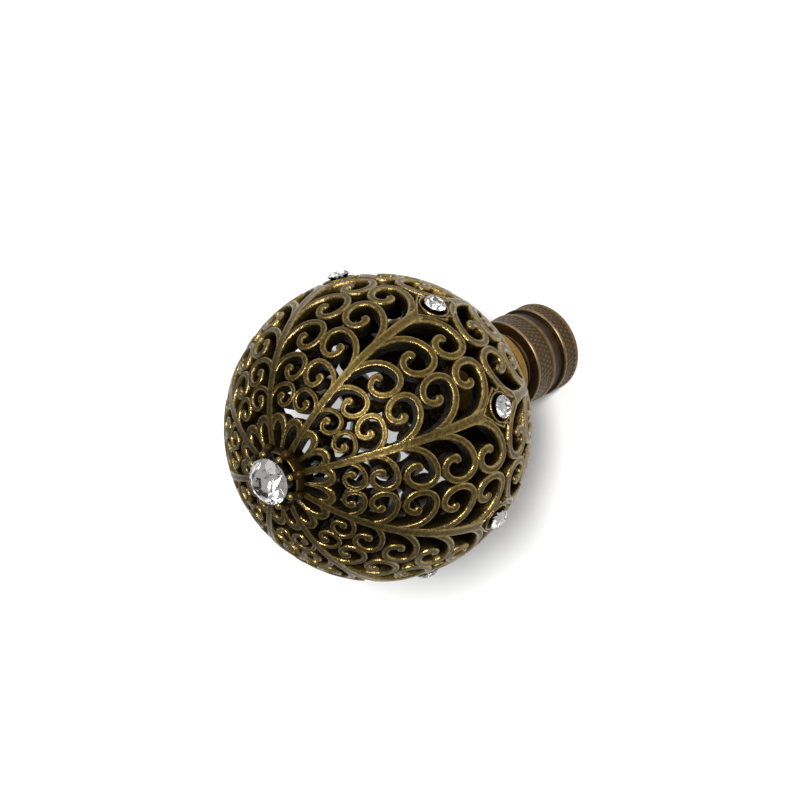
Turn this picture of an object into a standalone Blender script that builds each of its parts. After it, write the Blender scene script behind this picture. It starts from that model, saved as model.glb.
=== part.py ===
"""Lamp shade finial: a hollow pierced brass ball with clear stones on a turned, knurled base.

Metres, +Z up, standing on the flat end of the base, with the axis of symmetry on Z.
"""

import math

import bmesh
import bpy
from mathutils import Matrix, Vector
from mathutils.geometry import delaunay_2d_cdt

MM = 0.001
DEG = math.pi / 180.0

# Gap kept between pieces that touch
CLEARANCE = 0.3 * MM

# Pierced ball
BALL_RADIUS = 20.2 * MM
WALL_DEPTH = 2.0 * MM
SECTORS = 8
STONE_LATITUDE = -3.1 * DEG
RIB_WIDTH_AT_TOP = 1.05 * MM
RIB_WIDTH_AT_STONES = 1.5 * MM
STRIP_WIDTH_AT_TOP = 0.68 * MM
STRIP_WIDTH_AT_STONES = 0.95 * MM
BULB_RADIUS = 0.6 * MM

# Rows of scrolls from the stones to the pole: first edge, last edge and how far
# above the row its arm starts on the rib, as a share of the row's height
ROWS = (
    (1.5 * DEG, 16.0 * DEG, 0.35),
    (16.5 * DEG, 31.4 * DEG, 0.45),
    (32.0 * DEG, 45.2 * DEG, 0.45),
    (46.6 * DEG, 57.4 * DEG, 0.0),
    (58.6 * DEG, 68.1 * DEG, 0.0),
)
FULL_ROWS_BELOW = 1
ROWS_BELOW = 4
HEAD_WIDTH = 0.83
HEAD_FOOT_FROM_MIDDLE = 0.47
CURL_HEIGHT = 0.67
BULB_FROM_MIDDLE = 0.62
BULB_HEIGHT = 0.54
MIDDLE_OVERLAP = 0.12 * MM
WEB_WIDTH = 0.5
WEB_SINK = 0.09

# Plain cap under the last row of scrolls, and how far it covers that row
CAP_OVERLAP = 0.5 * DEG

# Petal loops between the top setting and the scrolls
PETAL_END_LATITUDE = 66.4 * DEG
PETAL_TURN = 4.0 * DEG
PETAL_ARM_PLACE = 0.80
PETAL_WIDTH = 0.55 * MM
PETAL_END_WIDTH = 1.2 * MM

# Top setting and its stone
TOP_STONE_RADIUS = 2.95 * MM
TOP_STONE_SIDES = 16
SETTING_WALL = 0.85 * MM
SETTING_RISE = 0.9 * MM
CLAW_RISE = 2.1 * MM
CLAW_WIDTH = 0.8 * DEG

# Round settings on the ribs and their stones
SIDE_STONE_RADIUS = 1.65 * MM
SIDE_STONE_SIDES = 8
SIDE_STONE_SINK = 0.05 * MM
BOSS_WALL = 0.45 * MM
BOSS_RISE = 0.4 * MM
BOSS_SIDES = 8
BOSS_FRAME_SIDE = 0.4 * MM
BOSS_FRAME_END = 1.0 * MM
SEAT_RADIUS = 1.0 * MM

# Cut of the stones, as shares of their radius
STONE_TABLE = 0.62
STONE_CROWN = 0.27
STONE_GIRDLE = 0.06
STONE_PAVILION = 0.86

# Turned base, from the flat end upward
BASE_RADIUS = 6.35 * MM
LOWER_BAND_HEIGHT = 3.2 * MM
GROOVE_HEIGHT = 2.3 * MM
GROOVE_RADIUS = 5.5 * MM
UPPER_BAND_HEIGHT = 4.1 * MM
BAND_CHAMFER = 0.3 * MM
RECESS_HEIGHT = 1.2 * MM
RECESS_RADIUS = 4.75 * MM
COLLAR_HEIGHT = 2.8 * MM
COLLAR_RADIUS = 5.25 * MM
NECK_HEIGHT = 3.8 * MM
NECK_RADIUS = 4.6 * MM
SPIGOT_HOLE_RADIUS = 4.2 * MM
BORE_RADIUS = 2.95 * MM
BORE_DEPTH = 11.0 * MM
TURNED_STEPS = 20
SHARP_ANGLE = 35.0 * DEG

# Steps of the curved outlines and the smallest corner that they keep
COLLAR_STEPS = 4
ARM_STEPS = 2
HEAD_STEPS = 3
CURL_STEPS = 1
BULB_SIDES = 5
CORNER_DEPTH = 0.25 * MM
SHORT_EDGE = 0.6 * MM
PETAL_STEPS = 3
RIB_STEPS = 16
BAND_STEPS = 4
JOINT_OVERLAP = 0.3 * MM
SEAM_OVERLAP = 0.5 * DEG
CUT_TOLERANCE = 0.1 * MM
MITRE_LIMIT = 0.5
SAME_ANGLE = 0.00001
SAME_POINT = 0.000001
WELD = 0.001 * MM

HALF_SECTOR = math.pi / SECTORS
SETTING_MOUTH_RADIUS = (TOP_STONE_RADIUS + CLEARANCE) * BALL_RADIUS / (BALL_RADIUS + CLAW_RISE)
SETTING_EDGE_RADIUS = SETTING_MOUTH_RADIUS + SETTING_WALL
BOSS_MOUTH_RADIUS = SIDE_STONE_RADIUS + CLEARANCE
BOSS_RADIUS = BOSS_MOUTH_RADIUS + BOSS_WALL
SHOULDER_Z = (
    LOWER_BAND_HEIGHT
    + GROOVE_HEIGHT
    + UPPER_BAND_HEIGHT
    + RECESS_HEIGHT
    + COLLAR_HEIGHT
    + NECK_HEIGHT
)
BALL_CENTRE_Z = SHOULDER_Z + CLEARANCE + math.sqrt(BALL_RADIUS**2 - SPIGOT_HOLE_RADIUS**2)


def clear_scene():
    for thing in list(bpy.data.objects):
        bpy.data.objects.remove(thing, do_unlink=True)


def make_material(name, colour, roughness, metallic, transmission=0.0):
    material = bpy.data.materials.new(name)
    material.use_nodes = True
    shader = material.node_tree.nodes["Principled BSDF"]
    shader.inputs["Base Color"].default_value = (*colour, 1.0)
    shader.inputs["Roughness"].default_value = roughness
    shader.inputs["Metallic"].default_value = metallic
    shader.inputs["Transmission Weight"].default_value = transmission
    return material


def add_object(name, mesh, material):
    thing = bpy.data.objects.new(name, mesh)
    bpy.context.scene.collection.objects.link(thing)
    if not mesh.materials:
        mesh.materials.append(material)
    return thing


def ball_point(lon, lat, radius):
    ring = radius * math.cos(lat)
    return Vector((ring * math.cos(lon), ring * math.sin(lon), radius * math.sin(lat)))


def latitude_of_ring(ring_radius):
    return math.acos(ring_radius / BALL_RADIUS)


def shifted(lon, lat, east, north):
    """The sheet's point a real distance east and north of another on the ball."""
    return (lon + east / (BALL_RADIUS * math.cos(lat)), lat + north / BALL_RADIUS)


def between(low, high, share):
    return low + (high - low) * share


def round_order(corners):
    """The corners in order round their own centre, so that no outline crosses itself."""
    centre = [sum(corner[axis] for corner in corners) / len(corners) for axis in (0, 1)]
    return sorted(corners, key=lambda c: math.atan2(c[1] - centre[1], c[0] - centre[0]))


def strip(centres, widths):
    """Quads of the given widths along a centre line of longitudes and latitudes."""
    steps = []
    for here, there in zip(centres, centres[1:]):
        east = (there[0] - here[0]) * math.cos((here[1] + there[1]) / 2)
        steps.append(Vector((east, there[1] - here[1])).normalized())
    sides = []
    for index, (lon, lat) in enumerate(centres):
        before = steps[max(index - 1, 0)]
        after = steps[min(index, len(steps) - 1)]
        along = (before + after).normalized()
        reach = widths[index] / 2 / max(along.dot(after), MITRE_LIMIT)
        left = shifted(lon, lat, -along.y * reach, along.x * reach)
        right = shifted(lon, lat, along.y * reach, -along.x * reach)
        sides.append((left, right))
    return [round_order([*a, *b]) for a, b in zip(sides, sides[1:])]


def disc(lon, lat, radius, sides, turn=0.0):
    corners = []
    for index in range(sides):
        angle = turn + 2 * math.pi * index / sides
        corners.append(shifted(lon, lat, radius * math.cos(angle), radius * math.sin(angle)))
    return corners


def arc(centre, reach, first, last, steps):
    """Points on an ellipse from one angle to another, without the first."""
    points = []
    for index in range(1, steps + 1):
        angle = between(first, last, index / steps) * DEG
        east = centre[0] + reach[0] * math.cos(angle)
        north = centre[1] + reach[1] * math.sin(angle)
        points.append((east, north))
    return points


def scroll(row, share, mirrored, plain):
    """Outline quads of one scroll, in the half sector east of its rib."""
    first, last, rise = row
    height = last - first
    side = -1 if mirrored else 1
    squeeze = math.cos(STONE_LATITUDE + side * (first + last) / 2)
    width = between(STRIP_WIDTH_AT_STONES, STRIP_WIDTH_AT_TOP, share)
    edge = width / 2 / BALL_RADIUS
    middle = HALF_SECTOR * squeeze
    flank = middle - edge + MIDDLE_OVERLAP / BALL_RADIUS
    foot = middle - HEAD_FOOT_FROM_MIDDLE * height
    start = last + rise * height
    low = first + edge
    high = last - edge
    centre = (low + high) / 2
    curl = middle - HEAD_WIDTH * height + edge
    curl_north = first + CURL_HEIGHT * height
    line = [(0.0, start)]
    line += arc((foot, start), (foot, start - low), 180.0, 270.0, ARM_STEPS)
    line += arc((foot, centre), (flank - foot, (high - low) / 2), -90.0, 90.0, HEAD_STEPS)
    if not plain:
        line += arc((foot, curl_north), (foot - curl, high - curl_north), 90.0, 180.0, CURL_STEPS)
        line.append((middle - BULB_FROM_MIDDLE * height, first + BULB_HEIGHT * height))
    centres = [(east / squeeze, STONE_LATITUDE + side * north) for east, north in line]
    shapes = strip(centres, [width] * len(centres))
    if not plain:
        shapes.append(disc(*centres[-1], BULB_RADIUS, BULB_SIDES, math.pi / BULB_SIDES))
    return shapes


def web(row, next_row, mirrored):
    """Fills the small gap where two rows and their twins meet on the sector's middle."""
    side = -1 if mirrored else 1
    corners = []
    for (first, last, _), sink in ((row, -WEB_SINK), (next_row, WEB_SINK)):
        height = last - first
        squeeze = math.cos(STONE_LATITUDE + side * (first + last) / 2)
        beside = HALF_SECTOR - WEB_WIDTH * height / squeeze
        near = (last if sink < 0 else first) + sink * height
        flank = (first + last) / 2 + 2 * sink * height
        corners.append((beside, STONE_LATITUDE + side * near))
        corners.append((HALF_SECTOR + SEAM_OVERLAP, STONE_LATITUDE + side * flank))
    return round_order(corners)


def petal():
    """The loop that hangs from the top setting beside the middle of the sector."""
    start = latitude_of_ring(SETTING_EDGE_RADIUS - JOINT_OVERLAP)
    arm = PETAL_ARM_PLACE * HALF_SECTOR
    end = PETAL_END_LATITUDE + PETAL_END_WIDTH / 2 / BALL_RADIUS
    turn = end + PETAL_TURN
    line = [(arm, start), (arm, turn)]
    line += arc((arm / 2, turn), (arm / 2, PETAL_TURN), 0.0, -180.0, PETAL_STEPS)
    widths = [PETAL_WIDTH, PETAL_WIDTH]
    widths += [PETAL_END_WIDTH] * (len(line) - 2)
    return strip(line, widths)


def rib():
    """Quads of the rib on the sector's own longitude, from the spigot hole to the top setting."""
    top = latitude_of_ring(SETTING_EDGE_RADIUS - JOINT_OVERLAP)
    foot = STONE_LATITUDE - ROWS[ROWS_BELOW - 1][1]
    centres = []
    widths = []
    for index in range(RIB_STEPS + 1):
        latitude = between(foot, top, index / RIB_STEPS)
        share = abs(latitude - STONE_LATITUDE) / (top - STONE_LATITUDE)
        centres.append((0.0, latitude))
        widths.append(between(RIB_WIDTH_AT_STONES, RIB_WIDTH_AT_TOP, share))
    return strip(centres, widths)


def band(south, north):
    """Quads of a ring round the axis between two latitudes, over one sector."""
    shapes = []
    for index in range(BAND_STEPS):
        west = between(-HALF_SECTOR, HALF_SECTOR, index / BAND_STEPS)
        east = between(-HALF_SECTOR, HALF_SECTOR, (index + 1) / BAND_STEPS)
        shapes.append([(west, south), (east, south), (east, north), (west, north)])
    return shapes


def mirrored_east_west(shapes):
    return [round_order([(-lon, lat) for lon, lat in shape]) for shape in shapes]


def sector_shapes():
    """All the overlapping outlines of one sector, between two sector middles."""
    half = petal()
    for mirrored in (False, True):
        rows = ROWS[:ROWS_BELOW] if mirrored else ROWS
        for index, row in enumerate(rows):
            plain = mirrored and index >= FULL_ROWS_BELOW
            share = index / (len(ROWS) - 1)
            half += scroll(row, share, mirrored, plain)
            if index + 1 < len(rows):
                half.append(web(row, rows[index + 1], mirrored))
    shapes = half + mirrored_east_west(half)
    shapes += rib()
    shapes += band(latitude_of_ring(SETTING_EDGE_RADIUS), latitude_of_ring(SETTING_MOUTH_RADIUS))
    last_row = STONE_LATITUDE - ROWS[ROWS_BELOW - 1][1]
    shapes += band(-latitude_of_ring(SPIGOT_HOLE_RADIUS), last_row + CAP_OVERLAP)
    shapes.append(disc(0.0, STONE_LATITUDE, BOSS_RADIUS, BOSS_SIDES))
    wide = BOSS_RADIUS + BOSS_FRAME_SIDE
    tall = BOSS_RADIUS + BOSS_FRAME_END
    corners = ((wide, 0.0), (0.0, tall), (-wide, 0.0), (0.0, -tall))
    shapes.append(round_order([shifted(0.0, STONE_LATITUDE, *corner) for corner in corners]))
    return shapes


def flat_triangles(points, edges, faces):
    """Constrained triangles of a flat drawing, with the drawn faces that cover each."""
    result = delaunay_2d_cdt(points, edges, faces, 1, SAME_POINT)
    return [Vector(point) for point in result[0]], result[2], result[5]


def outline_loops(shapes):
    """Closed loops round the union of the shapes, cut at the sector's middles."""
    points = []
    faces = []
    for shape in shapes:
        faces.append(list(range(len(points), len(points) + len(shape))))
        points += [Vector(corner) for corner in shape]
    seams = []
    for lon in (-HALF_SECTOR, HALF_SECTOR):
        seams.append((len(points), len(points) + 1))
        points += [Vector((lon, -math.pi / 2)), Vector((lon, math.pi / 2))]
    points, triangles, covers = flat_triangles(points, seams, faces)
    follow = {}
    for triangle, cover in zip(triangles, covers):
        centre = sum(points[i].x for i in triangle) / 3
        if not cover or abs(centre) > HALF_SECTOR:
            continue
        for a, b in zip(triangle, triangle[1:] + triangle[:1]):
            if (b, a) in follow:
                del follow[(b, a)]
            else:
                follow[(a, b)] = True
    after = {}
    for a, b in follow:
        after.setdefault(a, []).append(b)
    loops = []
    while after:
        start = next(iter(after))
        loop = [start]
        here = after[start].pop()
        if not after[start]:
            del after[start]
        while here != start:
            loop.append(here)
            there = after[here].pop()
            if not after[here]:
                del after[here]
            here = there
        loops.append([points[i] for i in loop])
    return loops


def real_offset(here, there):
    squeeze = math.cos((here.y + there.y) / 2)
    return Vector(((there.x - here.x) * squeeze, there.y - here.y)) * BALL_RADIUS


def corner_depth(before, here, after):
    base = real_offset(before, after)
    arm = real_offset(before, here)
    if base.length < WELD:
        return arm.length
    return abs(base.x * arm.y - base.y * arm.x) / base.length


def on_seam(point):
    return abs(abs(point.x) - HALF_SECTOR) < SAME_ANGLE


def on_rim(point):
    """Whether a point lies on one of the two round holes of the sheet."""
    low = -latitude_of_ring(SPIGOT_HOLE_RADIUS)
    high = latitude_of_ring(SETTING_MOUTH_RADIUS)
    return min(abs(point.y - low), abs(point.y - high)) < SAME_ANGLE


def seam_points(here, there):
    """The middles of the rows between two points of a seam, so that it stays round."""
    middles = []
    for first, last, _ in ROWS:
        middles += [STONE_LATITUDE + (first + last) / 2, STONE_LATITUDE - (first + last) / 2]
    passed = [lat for lat in middles if min(here.y, there.y) < lat < max(here.y, there.y)]
    passed.sort(reverse=there.y < here.y)
    return [Vector((here.x, lat)) for lat in passed]


def even_seams(loop):
    """The loop with only its corners and the rows' middles left on the seams."""
    kept = []
    for index, here in enumerate(loop):
        around = (loop[index - 1], loop[(index + 1) % len(loop)])
        if not (on_seam(here) and all(on_seam(other) for other in around)):
            kept.append(here)
    even = []
    for index, here in enumerate(kept):
        there = kept[(index + 1) % len(kept)]
        even.append(here)
        if on_seam(here) and on_seam(there) and here.x * there.x > 0:
            even += seam_points(here, there)
    return even


def simplified(loop):
    """The loop without its flat corners and without its shortest edges."""
    loop = list(loop)
    while len(loop) > 3:
        worst = None
        for index, here in enumerate(loop):
            if on_rim(here) or on_seam(here):
                continue
            before = loop[index - 1]
            after = loop[(index + 1) % len(loop)]
            depth = corner_depth(before, here, after)
            short = min(real_offset(before, here).length, real_offset(here, after).length)
            if depth < CORNER_DEPTH or short < SHORT_EDGE:
                if worst is None or depth < worst[0]:
                    worst = (depth, index)
        if worst is None:
            break
        del loop[worst[1]]
    return loop


def inside(point, loops):
    """Whether a flat point lies in the union, by counting the edges west of it."""
    crossings = 0
    for loop in loops:
        for a, b in zip(loop, loop[1:] + loop[:1]):
            if (a.y > point.y) != (b.y > point.y):
                if a.x + (point.y - a.y) / (b.y - a.y) * (b.x - a.x) < point.x:
                    crossings += 1
    return crossings % 2 == 1


def boss_distance(lon, lat):
    east = lon * math.cos(lat) * BALL_RADIUS
    north = (lat - STONE_LATITUDE) * BALL_RADIUS
    return math.hypot(east, north)


def outer_height(lon, lat):
    """How far from the ball's centre the outer surface lies."""
    if boss_distance(lon, lat) < BOSS_MOUTH_RADIUS + CUT_TOLERANCE:
        return BALL_RADIUS + BOSS_RISE
    if lat > latitude_of_ring(SETTING_MOUTH_RADIUS + CUT_TOLERANCE):
        at_claw = abs(lon) < CLAW_WIDTH
        return BALL_RADIUS + (CLAW_RISE if at_claw else SETTING_RISE)
    return BALL_RADIUS


def inner_point(lon, lat):
    """The point of the inner surface behind a point of the sheet."""
    if boss_distance(lon, lat) < BOSS_MOUTH_RADIUS + CUT_TOLERANCE:
        share = SEAT_RADIUS / BOSS_MOUTH_RADIUS
        lon *= share
        lat = between(STONE_LATITUDE, lat, share)
    return ball_point(lon, lat, BALL_RADIUS - WALL_DEPTH)


def sector_sheet():
    """Flat points and triangles of one sector, with the hole of its round setting."""
    loops = [even_seams(simplified(loop)) for loop in outline_loops(sector_shapes())]
    hole = disc(0.0, STONE_LATITUDE, BOSS_MOUTH_RADIUS, BOSS_SIDES)
    loops.append([Vector(corner) for corner in reversed(hole)])
    points = []
    edges = []
    for loop in loops:
        first = len(points)
        points += loop
        edges += [(first + i, first + (i + 1) % len(loop)) for i in range(len(loop))]
    points, triangles, _ = flat_triangles(points, edges, [])
    kept = []
    for triangle in triangles:
        centre = (points[triangle[0]] + points[triangle[1]] + points[triangle[2]]) / 3
        if inside(centre, loops):
            kept.append(triangle)
    return points, kept


def ball_mesh():
    """Bends the flat sectors round the ball, welds them and gives them the wall's depth."""
    points, triangles = sector_sheet()
    bm = bmesh.new()
    depth = bm.verts.layers.float_vector.new("inner")
    for sector in range(SECTORS):
        turn = Matrix.Rotation(2 * HALF_SECTOR * sector, 3, "Z")
        verts = []
        for point in points:
            place = ball_point(point.x, point.y, outer_height(point.x, point.y))
            vert = bm.verts.new(turn @ place)
            vert[depth] = turn @ inner_point(point.x, point.y)
            verts.append(vert)
        for triangle in triangles:
            bm.faces.new([verts[i] for i in triangle])
    bmesh.ops.remove_doubles(bm, verts=bm.verts[:], dist=WELD)
    loose = [vert for vert in bm.verts if not vert.link_faces]
    bmesh.ops.delete(bm, geom=loose, context="VERTS")
    grown = bmesh.ops.extrude_face_region(bm, geom=bm.faces[:], use_keep_orig=True)
    for item in grown["geom"]:
        if isinstance(item, bmesh.types.BMVert):
            item.co = item[depth]
    bmesh.ops.recalc_face_normals(bm, faces=bm.faces[:])
    bmesh.ops.translate(bm, verts=bm.verts[:], vec=(0.0, 0.0, BALL_CENTRE_Z))
    bmesh.ops.triangulate(bm, faces=bm.faces[:])
    mesh = bpy.data.meshes.new("finial_ball")
    bm.to_mesh(mesh)
    bm.free()
    return mesh


def stone_mesh(name, radius, sides):
    """A round stone with a flat table, a thin girdle and a pointed back, its girdle at zero."""
    bm = bmesh.new()
    girdle_top = STONE_GIRDLE / 2 * radius
    table = []
    upper = []
    lower = []
    for index in range(sides):
        angle = 2 * math.pi * index / sides
        half_step = angle + math.pi / sides
        across = Vector((math.cos(angle), math.sin(angle), 0.0))
        between_facets = Vector((math.cos(half_step), math.sin(half_step), 0.0))
        lift = Vector((0.0, 0.0, girdle_top))
        crown = Vector((0.0, 0.0, girdle_top + STONE_CROWN * radius))
        table.append(bm.verts.new(between_facets * STONE_TABLE * radius + crown))
        upper.append(bm.verts.new(across * radius + lift))
        lower.append(bm.verts.new(across * radius - lift))
    culet = bm.verts.new((0.0, 0.0, -girdle_top - STONE_PAVILION * radius))
    bm.faces.new(table)
    for index in range(sides):
        after = (index + 1) % sides
        bm.faces.new((table[index - 1], upper[index], table[index]))
        bm.faces.new((table[index], upper[index], upper[after]))
        bm.faces.new((upper[index], lower[index], lower[after], upper[after]))
        bm.faces.new((lower[index], culet, lower[after]))
    bmesh.ops.recalc_face_normals(bm, faces=bm.faces[:])
    mesh = bpy.data.meshes.new(name)
    bm.to_mesh(mesh)
    bm.free()
    return mesh


def add_ball(brass):
    add_object("finial_ball", ball_mesh(), brass)


def add_top_stone(crystal):
    mesh = stone_mesh("top_crystal", TOP_STONE_RADIUS, TOP_STONE_SIDES)
    stone = add_object("top_crystal", mesh, crystal)
    claw_tip = ball_point(0.0, latitude_of_ring(SETTING_MOUTH_RADIUS), BALL_RADIUS + CLAW_RISE)
    stone.location = (0.0, 0.0, BALL_CENTRE_Z + claw_tip.z)


def add_side_stones(crystal):
    mesh = stone_mesh("side_crystal", SIDE_STONE_RADIUS, SIDE_STONE_SIDES)
    for sector in range(SECTORS):
        stone = add_object("side_crystal_%d" % (sector + 1), mesh, crystal)
        lon = 2 * HALF_SECTOR * sector
        outward = ball_point(lon, STONE_LATITUDE, 1.0)
        stone.location = outward * (BALL_RADIUS + BOSS_RISE - SIDE_STONE_SINK)
        stone.location.z += BALL_CENTRE_Z
        stone.rotation_euler = outward.to_track_quat("Z", "Y").to_euler()


def collar_profile(foot):
    """Half-round edge of the collar, from its foot upward."""
    points = []
    for index in range(COLLAR_STEPS + 1):
        angle = -math.pi / 2 + math.pi * index / COLLAR_STEPS
        radius = between(NECK_RADIUS, COLLAR_RADIUS, math.cos(angle))
        points.append((radius, foot + COLLAR_HEIGHT * (1 + math.sin(angle)) / 2))
    return points


def base_profile():
    """Radius and height of the turned outline, from the bore's edge round to its end."""
    groove_foot = LOWER_BAND_HEIGHT
    groove_top = groove_foot + GROOVE_HEIGHT
    recess_foot = groove_top + UPPER_BAND_HEIGHT
    collar_foot = recess_foot + RECESS_HEIGHT
    spigot_top = SHOULDER_Z + CLEARANCE + WALL_DEPTH
    spigot_radius = SPIGOT_HOLE_RADIUS * (1 - WALL_DEPTH / BALL_RADIUS) - CLEARANCE
    points = [
        (0.0, BORE_DEPTH),
        (BORE_RADIUS, BORE_DEPTH),
        (BORE_RADIUS, 0.0),
        (BASE_RADIUS - BAND_CHAMFER, 0.0),
        (BASE_RADIUS, BAND_CHAMFER),
        (BASE_RADIUS, groove_foot - BAND_CHAMFER),
        (BASE_RADIUS - BAND_CHAMFER, groove_foot),
        (GROOVE_RADIUS, groove_foot),
        (GROOVE_RADIUS, groove_top),
        (BASE_RADIUS - BAND_CHAMFER, groove_top),
        (BASE_RADIUS, groove_top + BAND_CHAMFER),
        (BASE_RADIUS, recess_foot - BAND_CHAMFER),
        (BASE_RADIUS - BAND_CHAMFER, recess_foot),
        (RECESS_RADIUS, recess_foot),
        (RECESS_RADIUS, collar_foot),
    ]
    points += collar_profile(collar_foot)
    points += [
        (NECK_RADIUS, SHOULDER_Z),
        (spigot_radius, SHOULDER_Z),
        (spigot_radius, spigot_top),
        (0.0, spigot_top),
    ]
    return points


def add_base(brass):
    """Turns the base's outline round the axis."""
    bm = bmesh.new()
    verts = [bm.verts.new((radius, 0.0, z)) for radius, z in base_profile()]
    edges = [bm.edges.new(pair) for pair in zip(verts, verts[1:])]
    bmesh.ops.spin(
        bm,
        geom=verts + edges,
        cent=(0.0, 0.0, 0.0),
        axis=(0.0, 0.0, 1.0),
        angle=2 * math.pi,
        steps=TURNED_STEPS,
    )
    bmesh.ops.remove_doubles(bm, verts=bm.verts[:], dist=WELD)
    bmesh.ops.recalc_face_normals(bm, faces=bm.faces[:])
    mesh = bpy.data.meshes.new("knurled_base")
    bm.to_mesh(mesh)
    bm.free()
    mesh.shade_smooth()
    mesh.set_sharp_from_angle(angle=SHARP_ANGLE)
    add_object("knurled_base", mesh, brass)


def main():
    clear_scene()
    ball_brass = make_material("antique_cast_brass", (0.19, 0.13, 0.04), 0.38, 1.0)
    base_brass = make_material("antique_turned_brass", (0.20, 0.15, 0.07), 0.45, 1.0)
    crystal = make_material("clear_crystal", (1.0, 1.0, 1.0), 0.02, 0.0, 1.0)
    add_ball(ball_brass)
    add_top_stone(crystal)
    add_side_stones(crystal)
    add_base(base_brass)


main()
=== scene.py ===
"""Lamp shade finial: cast scrollwork ball in antique brass, clear stones and a knurled base."""

import math

import bmesh
import bpy
from mathutils import Matrix, Vector


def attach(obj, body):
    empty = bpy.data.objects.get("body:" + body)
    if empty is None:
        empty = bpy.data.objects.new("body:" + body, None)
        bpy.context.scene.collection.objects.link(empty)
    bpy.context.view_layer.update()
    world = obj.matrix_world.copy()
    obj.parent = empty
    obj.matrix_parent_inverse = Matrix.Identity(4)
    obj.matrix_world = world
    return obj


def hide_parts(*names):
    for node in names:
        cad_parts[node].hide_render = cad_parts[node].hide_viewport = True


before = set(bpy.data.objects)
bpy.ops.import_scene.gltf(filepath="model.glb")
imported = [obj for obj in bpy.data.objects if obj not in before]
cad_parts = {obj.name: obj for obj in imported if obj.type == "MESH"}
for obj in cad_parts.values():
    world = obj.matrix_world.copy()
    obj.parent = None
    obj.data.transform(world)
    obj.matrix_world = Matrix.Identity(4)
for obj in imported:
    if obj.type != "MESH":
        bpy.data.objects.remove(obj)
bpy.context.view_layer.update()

MM = 0.001
DEG = math.pi / 180.0

# Ball, as in the solids
BALL_RADIUS = 20.2 * MM
SECTORS = 8
HALF_SECTOR = math.pi / SECTORS
SPIGOT_HOLE_RADIUS = 4.2 * MM
SHOULDER_Z = 17.4 * MM
CLEARANCE = 0.3 * MM
BALL_CENTRE_Z = SHOULDER_Z + CLEARANCE + math.sqrt(BALL_RADIUS**2 - SPIGOT_HOLE_RADIUS**2)
BALL_CENTRE = Vector((0.0, 0.0, BALL_CENTRE_Z))

# Scrolls: first and last edge of each row from the stones' latitude, and the rise of its arm
STONE_LATITUDE = -3.1 * DEG
ROWS = (
    (0.4 * DEG, 16.3 * DEG, 0.17),
    (15.7 * DEG, 31.6 * DEG, 0.35),
    (31.6 * DEG, 46.0 * DEG, 0.29),
    (46.4 * DEG, 58.4 * DEG, -0.05),
    (58.2 * DEG, 68.2 * DEG, -0.12),
)
STRIP_WIDTH_AT_STONES = 1.2 * MM
STRIP_WIDTH_AT_TOP = 0.74 * MM
STRIP_WIDTH_BELOW = (1.2 * MM, 1.7 * MM, 2.2 * MM, 2.1 * MM)
HEAD_WIDTH = 0.75
HEAD_FOOT_FROM_MIDDLE = 0.42
CURL_HEIGHT = 0.65
BULB_FROM_MIDDLE = 0.60
BULB_HEIGHT = 0.57
BULB_RADIUS = 0.63 * MM
BULB_PER_WIDTH_BELOW = 0.52
BULB_GROWS_OVER = 2
MIDDLE_OVERLAP = 0.12 * MM
ARM_FOOT_STATIONS = 2
ARM_FOOT_LIFT = -0.05 * MM
ARM_STEPS = 9
HEAD_STEPS = 13
CURL_STEPS = 6
TAIL_STEPS = 5
ROUND_END_ANGLES = (20.0, 42.0, 62.0, 80.0)
ROUND_END_DROP = 0.28 * MM
ROUND_END_POWER = 6

# Ribs, petals and the plain collar round the neck
RIB_WIDTH_AT_TOP = 0.95 * MM
RIB_WIDTH_AT_STONES = 1.65 * MM
RIB_TAPERS_OVER = 75.0 * DEG
RIB_FLARE = 0.5 * MM
RIB_FLARES_OVER = 5.0 * DEG
RIB_LIFT = 0.03 * MM
RIB_BROADENS_FROM = -24.0 * DEG
RIB_BROADENS_OVER = 15.0 * DEG
RIB_BROADENS_BY = 1.1 * MM
RIB_TOP_LATITUDE = 79.5 * DEG
RIB_FOOT_LATITUDE = -60.5 * DEG
RIB_INTO_SETTING = 1.4 * DEG
RIB_STEPS = 40
PETAL_TOP_REACH = 3.6 * MM
PETAL_END_LATITUDE = 66.6 * DEG
PETAL_TURN = 6.6 * DEG
PETAL_ARM_PLACE = 0.95
PETAL_WIDTH = 0.50 * MM
PETAL_END_WIDTH = 1.27 * MM
PETAL_LIFT = -0.04 * MM
PETAL_ARM_STEPS = 6
PETAL_TURN_STEPS = 14
# Stations at which the petal starts to thicken and to thin again, over how many, and by what share
PETAL_THICKENS_FROM = 5
PETAL_THICKENS_OVER = 6
PETAL_THINS_FROM = 16
PETAL_THINS_OVER = 4
PETAL_THINS_BY = 0.6

# Height of the inner face of the ball's wall over the outer face, in millimetres
INSIDE = -2.0

# Wear and painted shade, here and below: 1 is rubbed bright, 0 plain, and below 0 painted shade,
# down to black at -1
# Cross sections: place across the half width, height in millimetres, and wear, with painted shade
# on the inner edges that darkens the walls of the openings
STRAP_SECTION = (
    (-1.0, -0.42, 0.3),
    (-0.93, -0.20, 0.8),
    (-0.77, -0.055, 1.0),
    (-0.53, 0.0, 0.7),
    (-0.25, -0.04, 0.1),
    (0.25, -0.04, 0.1),
    (0.53, 0.0, 0.7),
    (0.77, -0.055, 1.0),
    (0.93, -0.20, 0.8),
    (1.0, -0.42, 0.3),
    (0.92, INSIDE, -0.6),
    (-0.92, INSIDE, -0.6),
)
RIB_SECTION = (
    (-1.0, -0.34, 0.4),
    (-0.96, -0.12, 0.8),
    (-0.87, -0.015, 1.0),
    (-0.70, 0.0, 0.7),
    (-0.35, -0.03, 0.2),
    (0.35, -0.03, 0.2),
    (0.70, 0.0, 0.7),
    (0.87, -0.015, 1.0),
    (0.96, -0.12, 0.8),
    (1.0, -0.34, 0.4),
    (0.92, INSIDE, -0.6),
    (-0.92, INSIDE, -0.6),
)

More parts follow.
